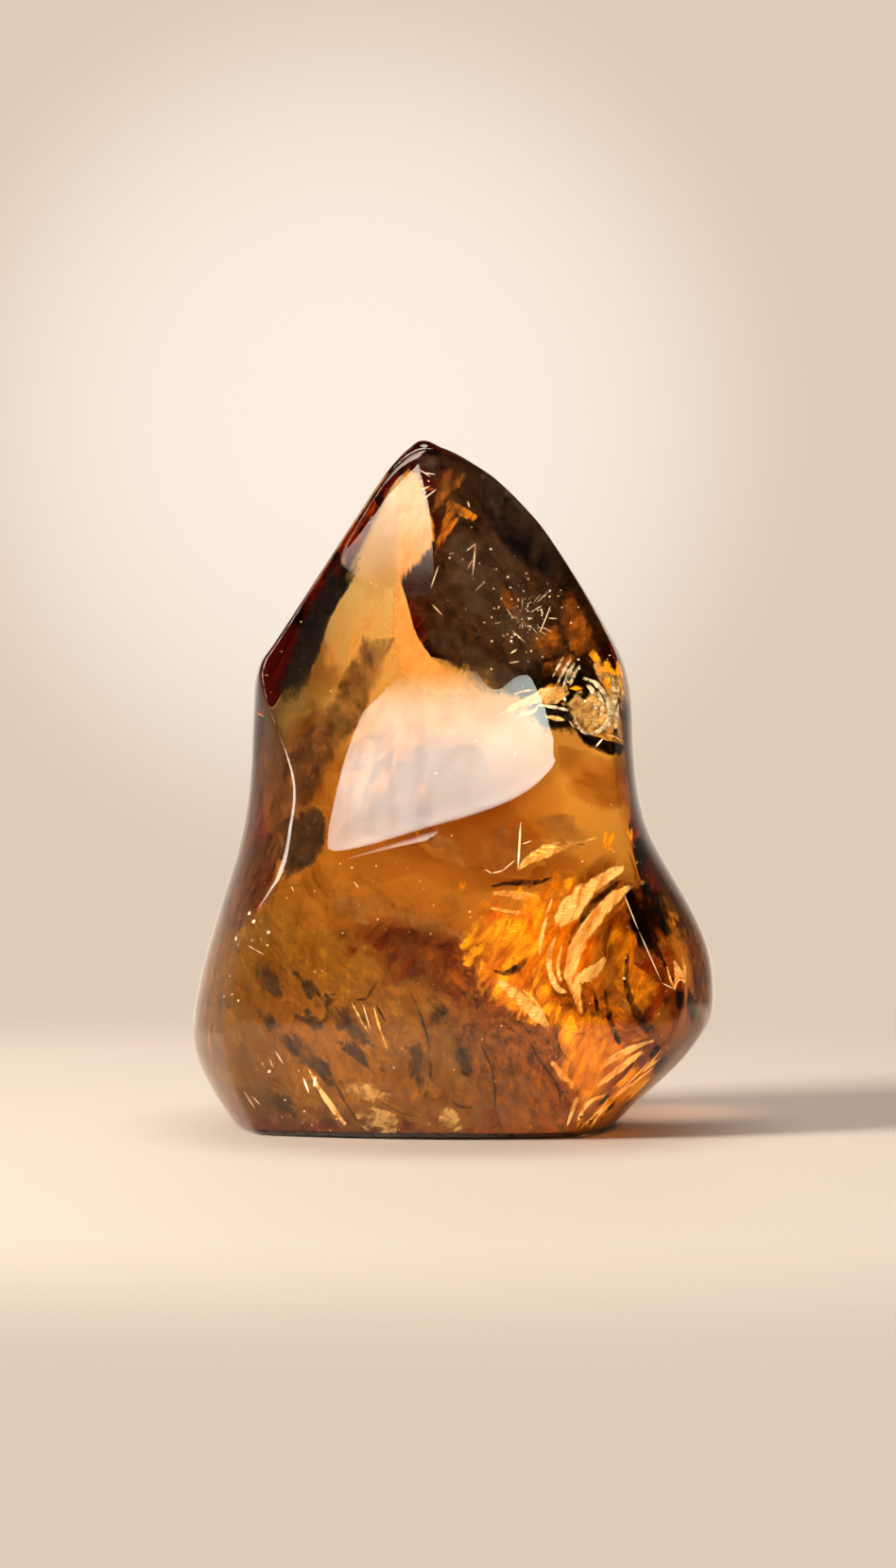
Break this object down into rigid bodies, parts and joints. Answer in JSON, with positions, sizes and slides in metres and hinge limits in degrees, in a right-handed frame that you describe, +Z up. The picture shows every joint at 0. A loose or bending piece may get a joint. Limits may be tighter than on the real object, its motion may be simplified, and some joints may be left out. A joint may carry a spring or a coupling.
{
  "type": "smoky quartz flame",
  "caption": "Freeform polished flame of clear smoky quartz with a swept front ridge, a flared belly and a flat sawn base to stand on.",
  "frame": {"origin": "middle of the flat base, under the middle of the crystal's outline", "axes": "+Z up from the base to the tip, X across the wide face, -Y out of the front face with the swept ridge"},
  "size_m": [0.0686, 0.0478, 0.09],
  "materials": {
    "smoky_quartz": "clear brown quartz, polished to a gloss all over; amber where thin, dark brown where deep"
  },
  "bodies": {
    "root": {"quartz_flame": "smoky_quartz"}
  },
  "joints": []
}
